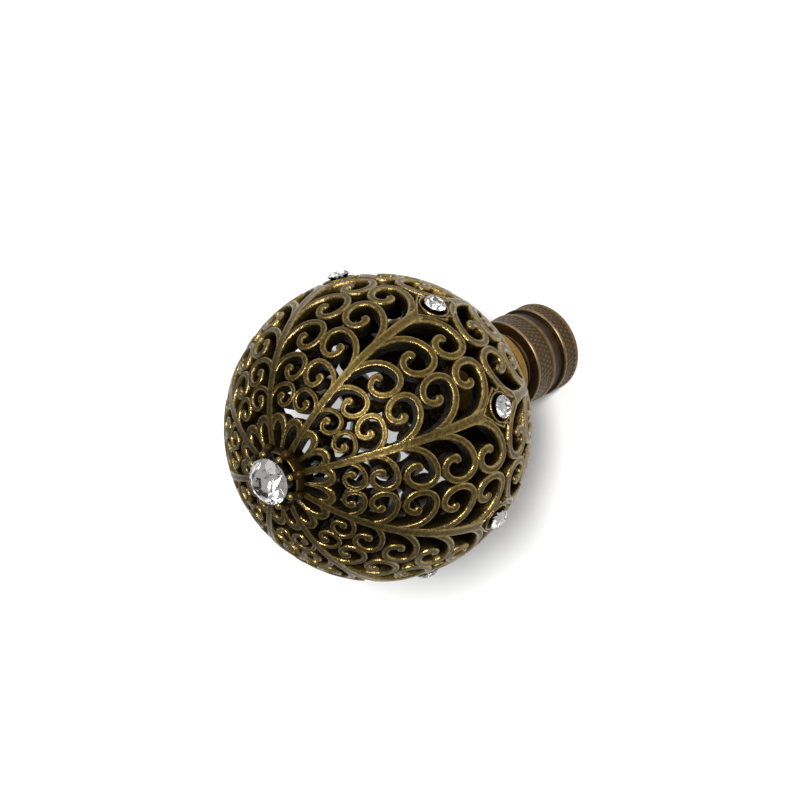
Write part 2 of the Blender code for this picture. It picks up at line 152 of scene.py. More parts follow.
# Plain stepped collar between the last scrolls and the neck: latitude in degrees, height in
# millimetres, and wear
NECK_COLLAR_PROFILE = (
    (-59.6, -0.30, 0.5),
    (-60.0, -0.04, 1.0),
    (-61.6, 0.0, 0.7),
    (-62.2, -0.12, 0.4),
    (-69.4, -0.12, 0.4),
    (-70.0, 0.0, 0.8),
    (-77.2, 0.0, 0.6),
    (-77.9, -0.15, 0.6),
    (-77.9, INSIDE, 0.0),
    (-59.6, INSIDE, 0.0),
)
TURNED_RING_STEPS = 96

# Setting on the pole
TOP_STONE_RADIUS = 3.06 * MM
TOP_STONE_RISE = 22.35 * MM
CLAW_PLACE = 3.36 * MM
CLAW_RISE = 21.85 * MM
CLAW_BEAD_RADIUS = 0.48 * MM
CLAW_FOOT_PLACE = 3.86 * MM
CLAW_FOOT_RISE = 20.6 * MM
CLAW_HEEL_RADIUS = 0.75 * MM
CLAW_HEEL_SHAPE = (0.75, 0.8, 1.0)
CLAW_STUB_RADIUS = 0.56 * MM
CLAW_NECK_RADIUS = 0.40 * MM
CLAW_SIDES = 16
CLAW_RINGS = 10
# Wear of the claw's parts: painted shade on the heel and on the stub under the bead, and a rubbed
# bright bead
HEEL_PAINTED_SHADE = -0.3
STUB_PAINTED_SHADE = -0.6
BEAD_WEAR = 0.9
# Ring round the stone's well: radius and height over the ball's centre in millimetres, and wear,
# with painted shade down the well and under the rim
TOP_RING_PROFILE = (
    (3.05, 17.9, -1.0),
    (3.10, 20.2, -0.8),
    (3.36, 20.92, 0.7),
    (3.42, 20.98, 0.8),
    (3.48, 20.96, 0.8),
    (3.54, 20.84, 0.0),
    (3.60, 20.60, -0.7),
    (3.80, 20.00, -0.7),
    (3.78, 19.4, -0.5),
    (3.6, 17.8, 0.0),
)

# Round settings on the ribs
SIDE_STONE_RADIUS = 1.5 * MM
SIDE_STONE_RISE = 0.45 * MM
PLATE_HOLE_RADIUS = 1.75 * MM
# Half of the setting's edge, east and north of the stone in millimetres, with the notch between
# its two ticks
SETTING_EDGE = (
    (0.0, 3.7),
    (2.0, 1.5),
    (2.85, 0.18),
    (2.4, 0.1),
    (2.4, -0.95),
    (2.8, -1.05),
    (1.95, -2.75),
    (1.05, -4.1),
    (0.0, -4.6),
)
SETTING_NORTH = SETTING_EDGE[0][1] * MM
SETTING_SOUTH = -SETTING_EDGE[-1][1] * MM
SETTING_STEPS = 96

# Cut of the stones, in radii of the girdle
STONE_SIDES = 8
TABLE_RADIUS = 0.60
TABLE_RISE = 0.34
STAR_RADIUS = 0.82
BACK_RADIUS = 0.72
BACK_DEPTH = 0.80
HALF_GIRDLE = 0.03

# Base, from the flat end upward
BASE_RADIUS = 6.35 * MM
LOWER_BAND = (0.0, 3.2 * MM)
UPPER_BAND = (5.5 * MM, 9.6 * MM)
BAND_STEPS = 24
BAND_EDGE = 0.16 * MM
BAND_EDGE_MIDDLE = 0.08 * MM
BAND_EDGE_RISE = 0.04 * MM
BAND_EDGE_HEIGHT = 0.12 * MM
KNURLS = 52
KNURL_LENGTH = 1.32 * MM
KNURL_DEPTH = 0.22 * MM
KNURL_STEEPNESS = 1.25
KNURL_STARTS = 0.40 * MM
KNURL_FADES_OVER = 0.35 * MM
# Wear of the knurl's crests, and the painted shade that darkens its cuts
CREST_WEAR = 0.95
CUT_PAINTED_SHADE = 0.8
TURNED_STEPS = 224
BORE_RADIUS = 2.95 * MM
BORE_DEPTH = 11.0 * MM
BORE_CHAMFER = 0.35 * MM
BORE_CHAMFER_TOP = 0.5 * MM
THREAD_TURNS = 11
THREAD_CREST = 0.02 * MM
THREAD_ROOT = 0.30 * MM
THREAD_ABOVE_MIDDLE = 0.2 * MM
THREAD_BELOW_MIDDLE = 0.25 * MM
# Radius and height in millimetres, and wear with painted shade: groove between the bands, dark
# with patina and painted shade, and recess over them, a little darker with painted shade
GROOVE_ROWS = (
    (6.00, 3.22, 0.05),
    (5.92, 3.32, 0.0),
    (5.90, 4.1, 0.0),
    (5.93, 4.8, 0.0),
    (6.02, 5.25, 0.1),
    (6.12, 5.45, 0.2),
)
RECESS_ROWS = (
    (6.05, 9.6, 0.6),
    (4.85, 9.62, 0.6),
    (4.75, 9.75, 0.4),
    (4.75, 10.45, 0.4),
)
# Round bead under the ball, and the neck and spigot over it
BEAD_FOOT_RADIUS = 4.55 * MM
BEAD_RADIUS = 5.9 * MM
BEAD_MIDDLE = 12.0 * MM
BEAD_HALF_HEIGHT = 1.5 * MM
BEAD_HALF_TURN = 80.0
BEAD_STEPS = 12
BEAD_COLLAR_WEAR = 0.7
POLISHED_FROM = 10.5 * MM
POLISHED_ABOVE = 10.9 * MM
NECK_ROWS = (
    (4.6, 13.55, 0.2),
    (4.6, 17.2, 0.3),
    (4.45, 17.4, 0.5),
    (3.45, 17.4, 0.2),
    (3.45, 19.5, 0.1),
    (3.25, 19.7, 0.1),
)

BALL_SMOOTH_BELOW = 50.0 * DEG
BASE_SMOOTH_BELOW = 30.0 * DEG

# View of the photograph: tilt of the axis from the line of sight, its direction in the
# picture, the turn of the ball round it, and the camera's distance and offsets
AXIS_TILT = 42.61 * DEG
AXIS_DIRECTION = 206.0 * DEG
AXIS_TURN = -12.63 * DEG
VIEW_DISTANCE = 18.1 * BALL_RADIUS
VIEW_RIGHT = -0.143 * BALL_RADIUS
VIEW_UP = -0.178 * BALL_RADIUS
FOCAL_PIXELS = 2788.0
PICTURE_PIXELS = 800.0
SENSOR = 36.0

# Studio: places are right, up and towards the camera from the ball's centre, in metres
FLOOR_SIZE = 4.0
ROOM_STRENGTH = 0.40
KEY_PLACE = (-0.09, 0.06, 0.95)
KEY_SIZE = 0.16
KEY_POWER = 10.0
PANEL_PLACE = (-0.42, 0.58, 0.60)
PANEL_SIZE = 0.5
PANEL_POWER = 3.0


def between(low, high, share):
    return low + (high - low) * share


def arc(centre, reach, first, last, steps):
    """Points on an ellipse from one angle to another, in degrees, without the first."""
    points = []
    for index in range(1, steps + 1):
        angle = between(first, last, index / steps) * DEG
        east = centre[0] + reach[0] * math.cos(angle)
        north = centre[1] + reach[1] * math.sin(angle)
        points.append((east, north))
    return points


def ball_place(lon, lat, height):
    """Place at a height over the ball's outer face."""
    radius = BALL_RADIUS + height
    ring = radius * math.cos(lat)
    return (ring * math.cos(lon), ring * math.sin(lon), BALL_CENTRE_Z + radius * math.sin(lat))


def new_casting():
    return {"points": [], "faces": [], "wear_and_shade": []}


def add_loops(casting, loops, ends):
    """Skins closed loops of (place, wear and painted shade), with a face on each end or closed
    round to the first.
    """
    start = len(casting["points"])
    size = len(loops[0])
    for loop in loops:
        for place, wear_and_shade in loop:
            casting["points"].append(place)
            casting["wear_and_shade"].append(wear_and_shade)
    count = len(loops)
    for index in range(count - 1 if ends else count):
        here = start + index * size
        there = start + ((index + 1) % count) * size
        for corner in range(size):
            after = (corner + 1) % size
            casting["faces"].append((here + corner, here + after, there + after, there + corner))
    if ends:
        casting["faces"].append(tuple(range(start, start + size)))
        casting["faces"].append(tuple(range(start + (count - 1) * size, start + count * size)))


def add_strap(casting, stations, section, turn=0.0, mirrored=False):
    """Sweeps a section along stations of longitude, latitude, half width and lift."""
    flip = -1.0 if mirrored else 1.0
    loops = []
    for index, (lon, lat, half, lift) in enumerate(stations):
        before = stations[max(index - 1, 0)]
        after = stations[min(index + 1, len(stations) - 1)]
        squeeze = math.cos(lat)
        east = (after[0] - before[0]) * squeeze
        north = after[1] - before[1]
        length = math.hypot(east, north)
        loop = []
        for across, height, wear_and_shade in section:
            reach = across * half / BALL_RADIUS
            point_lon = lon - north / length * reach / squeeze
            point_lat = lat + east / length * reach
            rise = height * MM + (lift if height > INSIDE / 2 else 0.0)
            loop.append((ball_place(turn + flip * point_lon, point_lat, rise), wear_and_shade))
        loops.append(loop)
    add_loops(casting, loops, True)


def rounded_end(points, radius):
    """Stations past the last point that close a strap with a half round."""
    east = points[-1][0] - points[-2][0]
    north = points[-1][1] - points[-2][1]
    length = math.hypot(east, north)
    stations = []
    for angle in ROUND_END_ANGLES:
        ahead = radius * math.sin(angle * DEG) / BALL_RADIUS
        place = (points[-1][0] + east / length * ahead, points[-1][1] + north / length * ahead)
        lift = -ROUND_END_DROP * math.sin(angle * DEG) ** ROUND_END_POWER
        stations.append((place, radius * math.cos(angle * DEG), lift))
    return stations


def scroll_stations(row, width, side, bulb_radius=BULB_RADIUS):
    """One scroll east of its rib: an arm, a round head, a curl and a rounded bulb."""
    first, last, rise = row
    height = last - first
    squeeze = math.cos(STONE_LATITUDE + side * (first + last) / 2)
    half = width / 2
    edge = half / BALL_RADIUS
    middle = HALF_SECTOR * squeeze
    flank = middle - edge + MIDDLE_OVERLAP / BALL_RADIUS
    foot = middle - HEAD_FOOT_FROM_MIDDLE * height
    start = last + rise * height
    low = first + edge
    high = last - edge
    centre = (low + high) / 2
    curl = middle - HEAD_WIDTH * height + edge
    curl_north = first + CURL_HEIGHT * height
    bulb = (middle - BULB_FROM_MIDDLE * height, first + BULB_HEIGHT * height)
    line = [(0.0, start)]
    line += arc((foot, start), (foot, start - low), 180.0, 270.0, ARM_STEPS)
    line += arc((foot, centre), (flank - foot, (high - low) / 2), -90.0, 90.0, HEAD_STEPS)
    line += arc((foot, curl_north), (foot - curl, high - curl_north), 90.0, 180.0, CURL_STEPS)
    body = len(line)
    tail = (bulb[0] - curl, curl_north - bulb[1])
    line += arc((bulb[0], curl_north), tail, 180.0, 270.0, TAIL_STEPS)
    stations = []
    for index, point in enumerate(line):
        grown = max(0.0, (index - body + 1 + BULB_GROWS_OVER) / (TAIL_STEPS + BULB_GROWS_OVER))
        lift = ARM_FOOT_LIFT if index < ARM_FOOT_STATIONS else 0.0
        stations.append((point, between(half, bulb_radius, grown), lift))
    stations += rounded_end(line, bulb_radius)
    return [
        (east / squeeze, STONE_LATITUDE + side * north, width, lift)
        for (east, north), width, lift in stations
    ]


def petal_stations():
    """The loop that hangs from the top setting, thick at its round end."""
    top = math.acos(PETAL_TOP_REACH / BALL_RADIUS)
    arm = PETAL_ARM_PLACE * HALF_SECTOR
    end = PETAL_END_LATITUDE + PETAL_END_WIDTH / 2 / BALL_RADIUS
    turn = end + PETAL_TURN
    shares = [index / PETAL_ARM_STEPS for index in range(PETAL_ARM_STEPS)]
    line = [(arm, between(top, turn, share)) for share in shares]
    line += [(arm, turn)]
    line += arc((arm / 2, turn), (arm / 2, PETAL_TURN), 0.0, -180.0, PETAL_TURN_STEPS)
    stations = []
    for index, (lon, lat) in enumerate(line):
        grown = min(1.0, max(0.0, (index - PETAL_THICKENS_FROM) / PETAL_THICKENS_OVER))
        fallen = max(0.0, (index - PETAL_THINS_FROM) / PETAL_THINS_OVER)
        width = between(PETAL_WIDTH, PETAL_END_WIDTH, grown - PETAL_THINS_BY * fallen)
        stations.append((lon, lat, width / 2, PETAL_LIFT))
    return stations


def rib_stations(first, last, flared):
    """A rib between two latitudes, widened where it meets a setting and towards the neck."""
    stations = []
    for index in range(RIB_STEPS + 1):
        lat = between(first, last, index / RIB_STEPS)
        share = min(1.0, abs(lat - STONE_LATITUDE) / RIB_TAPERS_OVER)
        width = between(RIB_WIDTH_AT_STONES, RIB_WIDTH_AT_TOP, share)
        near = max(0.0, 1.0 - abs(lat - flared) / RIB_FLARES_OVER)
        low = max(0.0, (RIB_BROADENS_FROM - lat) / RIB_BROADENS_OVER)
        width += RIB_FLARE * near * near + RIB_BROADENS_BY * min(1.0, low)
        stations.append((0.0, lat, width / 2, RIB_LIFT))
    return stations


def circle(radius):
    """A distance that is the same in every direction."""
    return lambda angle: radius


def setting_edge(share):
    """Distance of the setting's edge from the stone's middle in any direction."""
    def reach(angle):
        east = abs(math.cos(angle)) + 1e-9
        north = math.sin(angle)
        for (east_a, north_a), (east_b, north_b) in zip(SETTING_EDGE, SETTING_EDGE[1:]):
            side_a = east * north_a - north * east_a
            side_b = east * north_b - north * east_b
            if side_a >= 0.0 > side_b:
                part = side_a / (side_a - side_b)
                corner = (between(east_a, east_b, part), between(north_a, north_b, part))
                return share * math.hypot(*corner) * MM
        return share * SETTING_SOUTH
    return reach


def add_ring_on_ball(casting, profile, turn):
    """A closed ring round a stone's middle, from (reach, height, wear and painted shade) rows."""
    loops = []
    for index in range(SETTING_STEPS):
        angle = 2 * math.pi * index / SETTING_STEPS
        loop = []
        for reach, height, wear_and_shade in profile:
            distance = reach(angle) / BALL_RADIUS
            lat = STONE_LATITUDE + distance * math.sin(angle)
            lon = turn + distance * math.cos(angle) / math.cos(lat)
            loop.append((ball_place(lon, lat, height * MM), wear_and_shade))
        loops.append(loop)
    add_loops(casting, loops, False)


def add_turned_ring(casting, profile):
    """A closed ring round the axis, from (radius, height over the ball's centre, wear and
    painted shade) rows.
    """
    loops = []
    for index in range(TURNED_RING_STEPS):
        angle = 2 * math.pi * index / TURNED_RING_STEPS
        loop = []
        for radius, height, wear_and_shade in profile:
            place = (radius * math.cos(angle), radius * math.sin(angle), BALL_CENTRE_Z + height)
            loop.append((place, wear_and_shade))
        loops.append(loop)
    add_loops(casting, loops, False)


def add_side_setting(casting, turn):
    """Plate with a raised edge, and a thin round collet: reach, height in millimetres, wear,
    with painted shade round the plate's hole and at the collet's foot.
    """
    plate_profile = (
        (circle(PLATE_HOLE_RADIUS), INSIDE, 0.0),
        (circle(PLATE_HOLE_RADIUS), -0.20, -0.6),
        (setting_edge(0.84), -0.16, -0.5),
        (setting_edge(0.86), -0.06, -0.2),
        (setting_edge(0.90), 0.04, 0.9),
        (setting_edge(0.96), 0.04, 1.0),
        (setting_edge(1.0), -0.12, 0.5),
        (setting_edge(1.0), INSIDE, 0.0),
    )
    collet_profile = (
        (circle(1.60 * MM), -0.60, -1.0),
        (circle(1.84 * MM), 0.02, 0.0),
        (circle(1.92 * MM), 0.12, 1.0),
        (circle(2.02 * MM), 0.12, 1.0),
        (circle(2.10 * MM), 0.02, 0.6),
        (circle(2.14 * MM), -0.40, -0.4),
    )
    add_ring_on_ball(casting, plate_profile, turn)
    add_ring_on_ball(casting, collet_profile, turn)


def add_top_ring(casting):
    """Ring that carries the petals and ribs, with a thin bright rim round the stone's well."""
    profile = [(radius * MM, height * MM, wear_and_shade) for radius, height, wear_and_shade in TOP_RING_PROFILE]
    add_turned_ring(casting, profile)


def add_neck_collar(casting):
    """Plain stepped collar between the last scrolls and the neck."""
    profile = []
    for lat, height, wear_and_shade in NECK_COLLAR_PROFILE:
        radius = BALL_RADIUS + height * MM
        profile.append((radius * math.cos(lat * DEG), radius * math.sin(lat * DEG), wear_and_shade))
    add_turned_ring(casting, profile)


def point_outwards(mesh):
    """Turns every face of a closed mesh to the outside."""
    bm = bmesh.new()
    bm.from_mesh(mesh)
    bmesh.ops.recalc_face_normals(bm, faces=bm.faces[:])
    bm.to_mesh(mesh)
    bm.free()


def linked(name, data):
    """A new object in the scene."""
    thing = bpy.data.objects.new(name, data)
    bpy.context.scene.collection.objects.link(thing)
    return thing


def add_half_sector(casting, turn, mirrored):
    """The petal and the scrolls on one side of a rib, over and under the stones."""
    add_strap(casting, petal_stations(), STRAP_SECTION, turn, mirrored)
    for index, row in enumerate(ROWS):
        share = index / (len(ROWS) - 1)
        width = between(STRIP_WIDTH_AT_STONES, STRIP_WIDTH_AT_TOP, share)
        add_strap(casting, scroll_stations(row, width, 1), STRAP_SECTION, turn, mirrored)
    for row, width in zip(ROWS, STRIP_WIDTH_BELOW):
        bulb_radius = max(BULB_RADIUS, BULB_PER_WIDTH_BELOW * width)
        stations = scroll_stations(row, width, -1, bulb_radius)
        add_strap(casting, stations, STRAP_SECTION, turn, mirrored)


def scrollwork_ball():
    """The whole casting: ribs, scrolls, petals and settings."""
    casting = new_casting()
    north = STONE_LATITUDE + SETTING_NORTH / BALL_RADIUS
    south = STONE_LATITUDE - SETTING_SOUTH / BALL_RADIUS
    upper_rib = rib_stations(RIB_TOP_LATITUDE, north - RIB_INTO_SETTING, north)
    lower_rib = rib_stations(south + RIB_INTO_SETTING, RIB_FOOT_LATITUDE, south)
    for sector in range(SECTORS):
        turn = 2 * HALF_SECTOR * sector
        for mirrored in (False, True):
            add_half_sector(casting, turn, mirrored)
        add_strap(casting, upper_rib, RIB_SECTION, turn)
        add_strap(casting, lower_rib, RIB_SECTION, turn)
        add_side_setting(casting, turn)
    add_top_ring(casting)
    add_neck_collar(casting)
    mesh = bpy.data.meshes.new("scrollwork_ball")
    mesh.from_pydata(casting["points"], [], casting["faces"])
    wear_and_shade = mesh.attributes.new("wear_and_shade", "FLOAT", "POINT")
    wear_and_shade.data.foreach_set("value", casting["wear_and_shade"])
    point_outwards(mesh)
    return linked("scrollwork_ball", mesh)


def pick(*things):
    bpy.ops.object.select_all(action="DESELECT")
    for thing in things:
        thing.select_set(True)
    bpy.context.view_layer.objects.active = things[0]


def settle(thing):
    """Puts an object's place and turn into its mesh."""
    pick(thing)
    bpy.ops.object.transform_apply(location=True, rotation=True, scale=True)


def joined(things, name):
    pick(*things)
    bpy.ops.object.join()
    things[0].name = name
    things[0].data.name = name
    return things[0]


def smoothed(thing, angle):
    pick(thing)
    bpy.ops.object.shade_smooth_by_angle(angle=angle)


def give_wear_and_shade(thing, amount):
    wear_and_shade = thing.data.attributes.new("wear_and_shade", "FLOAT", "POINT")
    wear_and_shade.data.foreach_set("value", [amount] * len(thing.data.vertices))


def claw(turn):
    """A stub that leans in over the stone's edge and ends in a bead."""
    foot = Vector((CLAW_FOOT_PLACE, 0.0, BALL_CENTRE_Z + CLAW_FOOT_RISE))
    tip = Vector((CLAW_PLACE, 0.0, BALL_CENTRE_Z + CLAW_RISE))
    lean = (tip - foot).to_track_quat("Z", "Y").to_euler()
    bpy.ops.object.select_all(action="DESELECT")
    bpy.ops.mesh.primitive_uv_sphere_add(
        segments=CLAW_SIDES, ring_count=CLAW_RINGS, radius=CLAW_HEEL_RADIUS, location=foot
    )
    heel = bpy.context.active_object
    heel.scale = CLAW_HEEL_SHAPE
    settle(heel)
    bpy.ops.mesh.primitive_cone_add(
        vertices=CLAW_SIDES,
        radius1=CLAW_STUB_RADIUS,
        radius2=CLAW_NECK_RADIUS,
        depth=(tip - foot).length,
        location=(foot + tip) / 2,
        rotation=lean,
    )
    stub = bpy.context.active_object
    bpy.ops.mesh.primitive_uv_sphere_add(
        segments=CLAW_SIDES, ring_count=CLAW_RINGS, radius=CLAW_BEAD_RADIUS, location=tip
    )
    bead = bpy.context.active_object
    for part, wear_and_shade in ((heel, HEEL_PAINTED_SHADE), (stub, STUB_PAINTED_SHADE), (bead, BEAD_WEAR)):
        settle(part)
        give_wear_and_shade(part, wear_and_shade)
    whole = joined([heel, stub, bead], "claw")
    whole.data.transform(Matrix.Rotation(turn, 4, "Z"))
    return whole


def brilliant(name, radius, place, outward, glass, foil):
    """A round stone: eight-sided table, stars, kites and halves, with a foiled pavilion."""
    bm = bmesh.new()
    step = math.pi / STONE_SIDES
    star_rise = TABLE_RISE * (1 - STAR_RADIUS * math.cos(step)) / (1 - TABLE_RADIUS) + HALF_GIRDLE
    back_rise = BACK_DEPTH * (1 - BACK_RADIUS * math.cos(step)) + HALF_GIRDLE
    table_rise = TABLE_RISE + HALF_GIRDLE
    sides = range(STONE_SIDES)
    corners = range(2 * STONE_SIDES)

    def corner(distance, angle, rise):
        flat = Vector((math.cos(angle), math.sin(angle), 0.0)) * distance
        return bm.verts.new((flat + Vector((0.0, 0.0, rise))) * radius)

    table = [corner(TABLE_RADIUS, 2 * step * k, table_rise) for k in sides]
    stars = [corner(STAR_RADIUS, 2 * step * k + step, star_rise) for k in sides]
    upper = [corner(1.0, step * k, HALF_GIRDLE) for k in corners]
    lower = [corner(1.0, step * k, -HALF_GIRDLE) for k in corners]
    backs = [corner(BACK_RADIUS, 2 * step * k + step, -back_rise) for k in sides]
    culet = corner(0.0, 0.0, -BACK_DEPTH - HALF_GIRDLE)
    bm.faces.new(table)
    for k in sides:
        after = (k + 1) % STONE_SIDES
        bm.faces.new((table[k], table[after], stars[k]))
        bm.faces.new((table[k], stars[k], upper[2 * k], stars[k - 1]))
        bm.faces.new((stars[k], upper[2 * k], upper[2 * k + 1]))
        bm.faces.new((stars[k], upper[2 * k + 1], upper[2 * after]))
        bm.faces.new((upper[2 * k], upper[2 * k + 1], lower[2 * k + 1], lower[2 * k]))
        bm.faces.new((upper[2 * k + 1], upper[2 * after], lower[2 * after], lower[2 * k + 1]))
    front = len(bm.faces)
    for k in sides:
        after = (k + 1) % STONE_SIDES
        bm.faces.new((culet, backs[k], lower[2 * k], backs[k - 1]))
        bm.faces.new((backs[k], lower[2 * k], lower[2 * k + 1]))
        bm.faces.new((backs[k], lower[2 * k + 1], lower[2 * after]))
    for index, face in enumerate(bm.faces):
        face.material_index = 0 if index < front else 1
    bmesh.ops.recalc_face_normals(bm, faces=bm.faces[:])
    turn = Vector(outward).to_track_quat("Z", "Y").to_matrix().to_4x4()
    bmesh.ops.transform(bm, matrix=Matrix.Translation(place) @ turn, verts=bm.verts[:])
    mesh = bpy.data.meshes.new(name)
    bm.to_mesh(mesh)
    bm.free()
    mesh.materials.append(glass)
    mesh.materials.append(foil)
    return linked(name, mesh)


def plain_rows(rows):
    """Outline rows without knurling, from radius and height in millimetres, and wear with painted
    shade.
    """
    return [(radius * MM, height * MM, wear_and_shade, False) for radius, height, wear_and_shade in rows]


def band_rows(band):
    """Outline rows of a knurled band between its two small rounded edges."""
    foot, top = band
    low = foot + BAND_EDGE_HEIGHT
    high = top - BAND_EDGE_HEIGHT
    rows = [
        (BASE_RADIUS - BAND_EDGE, foot, 0.3, False),
        (BASE_RADIUS - BAND_EDGE_MIDDLE, foot + BAND_EDGE_RISE, 0.9, False),
    ]
    for index in range(BAND_STEPS + 1):
        rows.append((BASE_RADIUS, between(low, high, index / BAND_STEPS), 0.8, True))
    rows.append((BASE_RADIUS - BAND_EDGE_MIDDLE, top - BAND_EDGE_RISE, 0.9, False))
    rows.append((BASE_RADIUS - BAND_EDGE, top, 0.3, False))
    return rows


def base_outline():
    """Radius, height, wear with painted shade, and knurling of the turned outline, from the bore
    round to the top.
    """
    rows = [(BORE_RADIUS, BORE_DEPTH, 0.0, False)]
    for index in range(THREAD_TURNS):
        middle = BORE_DEPTH - (index + 0.5) * BORE_DEPTH / (THREAD_TURNS + 1)
        rows.append((BORE_RADIUS + THREAD_CREST, middle + THREAD_ABOVE_MIDDLE, 0.2, False))
        rows.append((BORE_RADIUS + THREAD_ROOT, middle - THREAD_BELOW_MIDDLE, 0.0, False))
    rows.append((BORE_RADIUS, BORE_CHAMFER_TOP, 0.2, False))
    rows.append((BORE_RADIUS + BORE_CHAMFER, 0.0, 0.8, False))
    rows += band_rows(LOWER_BAND)
    rows += plain_rows(GROOVE_ROWS)
    rows += band_rows(UPPER_BAND)
    rows += plain_rows(RECESS_ROWS)
    for index in range(BEAD_STEPS + 1):
        angle = between(-BEAD_HALF_TURN, BEAD_HALF_TURN, index / BEAD_STEPS) * DEG
        radius = between(BEAD_FOOT_RADIUS, BEAD_RADIUS, math.cos(angle))
        height = BEAD_MIDDLE + BEAD_HALF_HEIGHT * math.sin(angle)
        rows.append((radius, height, BEAD_COLLAR_WEAR, False))
    rows += plain_rows(NECK_ROWS)
    return rows


def knurl(angle, height):
    """Share of the knurl's depth that is cut away at a place on a band, less near its edges."""
    from_edge = min(abs(height - edge) for edge in (*LOWER_BAND, *UPPER_BAND))
    fade = min(1.0, max(0.0, (from_edge - KNURL_STARTS) / KNURL_FADES_OVER))
    across = angle * KNURLS / (2 * math.pi)
    along = height / KNURL_LENGTH
    first = abs((across + along) % 1.0 - 0.5) * 2
    second = abs((across - along) % 1.0 - 0.5) * 2
    return fade * min(1.0, KNURL_STEEPNESS * max(first, second))


def turned_blank(outline):
    """Extrudes a disc of edges along the turned outline."""
    radius, height = outline[0][:2]
    bpy.ops.object.select_all(action="DESELECT")
    bpy.ops.mesh.primitive_circle_add(
        vertices=TURNED_STEPS, radius=radius, fill_type="NGON", location=(0.0, 0.0, height)
    )
    base = bpy.context.active_object
    base.name = "knurled_base_turned"
    base.data.name = base.name
    settle(base)
    bpy.ops.object.mode_set(mode="EDIT")
    bpy.ops.mesh.select_all(action="SELECT")
    for (old_radius, old_height, _, _), (new_radius, new_height, _, _) in zip(outline, outline[1:]):
        bpy.ops.mesh.extrude_region_move(
            TRANSFORM_OT_translate={"value": (0.0, 0.0, new_height - old_height)}
        )
        share = new_radius / old_radius
        bpy.ops.transform.resize(value=(share, share, 1.0))
    bpy.ops.object.mode_set(mode="OBJECT")
    return base


def knurled_base():
    """Turns the base, cuts the knurl into its bands and stores the wear, with painted shade in the
    cuts.
    """
    outline = base_outline()
    base = turned_blank(outline)
    mesh = base.data
    wear_and_shade = mesh.attributes.new("wear_and_shade", "FLOAT", "POINT")
    for index, vert in enumerate(mesh.vertices):
        _, _, wear_and_shade_value, knurled = outline[min(index // TURNED_STEPS, len(outline) - 1)]
        if knurled:
            angle = math.atan2(vert.co.y, vert.co.x)
            cut = knurl(angle, vert.co.z)
            radius = (BASE_RADIUS - KNURL_DEPTH * cut) / BASE_RADIUS
            vert.co.x *= radius
            vert.co.y *= radius
            # Crests rubbed bright, cuts darkened with painted shade
            wear_and_shade_value = CREST_WEAR - CUT_PAINTED_SHADE * cut
        wear_and_shade.data[index].value = wear_and_shade_value
    point_outwards(mesh)
    return base


def add_node(tree, kind, settings=None, links=None):
    """Adds a node, sets its properties and sockets, and links other sockets into it."""
    node = tree.nodes.new(kind)
    for key, value in (settings or {}).items():
        if isinstance(key, int) or key in node.inputs.keys():
            node.inputs[key].default_value = value
        else:
            setattr(node, key, value)
    for key, source in (links or {}).items():
        tree.links.new(source, node.inputs[key])
    return node


def srgb(hex_colour):
    """Linear colour of an sRGB hex value."""
    values = [int(hex_colour[index:index + 2], 16) / 255 for index in (1, 3, 5)]
    linear = [v / 12.92 if v <= 0.04045 else ((v + 0.055) / 1.055) ** 2.4 for v in values]
    return (*linear, 1.0)


def blank_material(name):
    material = bpy.data.materials.new(name)
    material.use_nodes = True
    return material, material.node_tree, material.node_tree.nodes["Principled BSDF"]


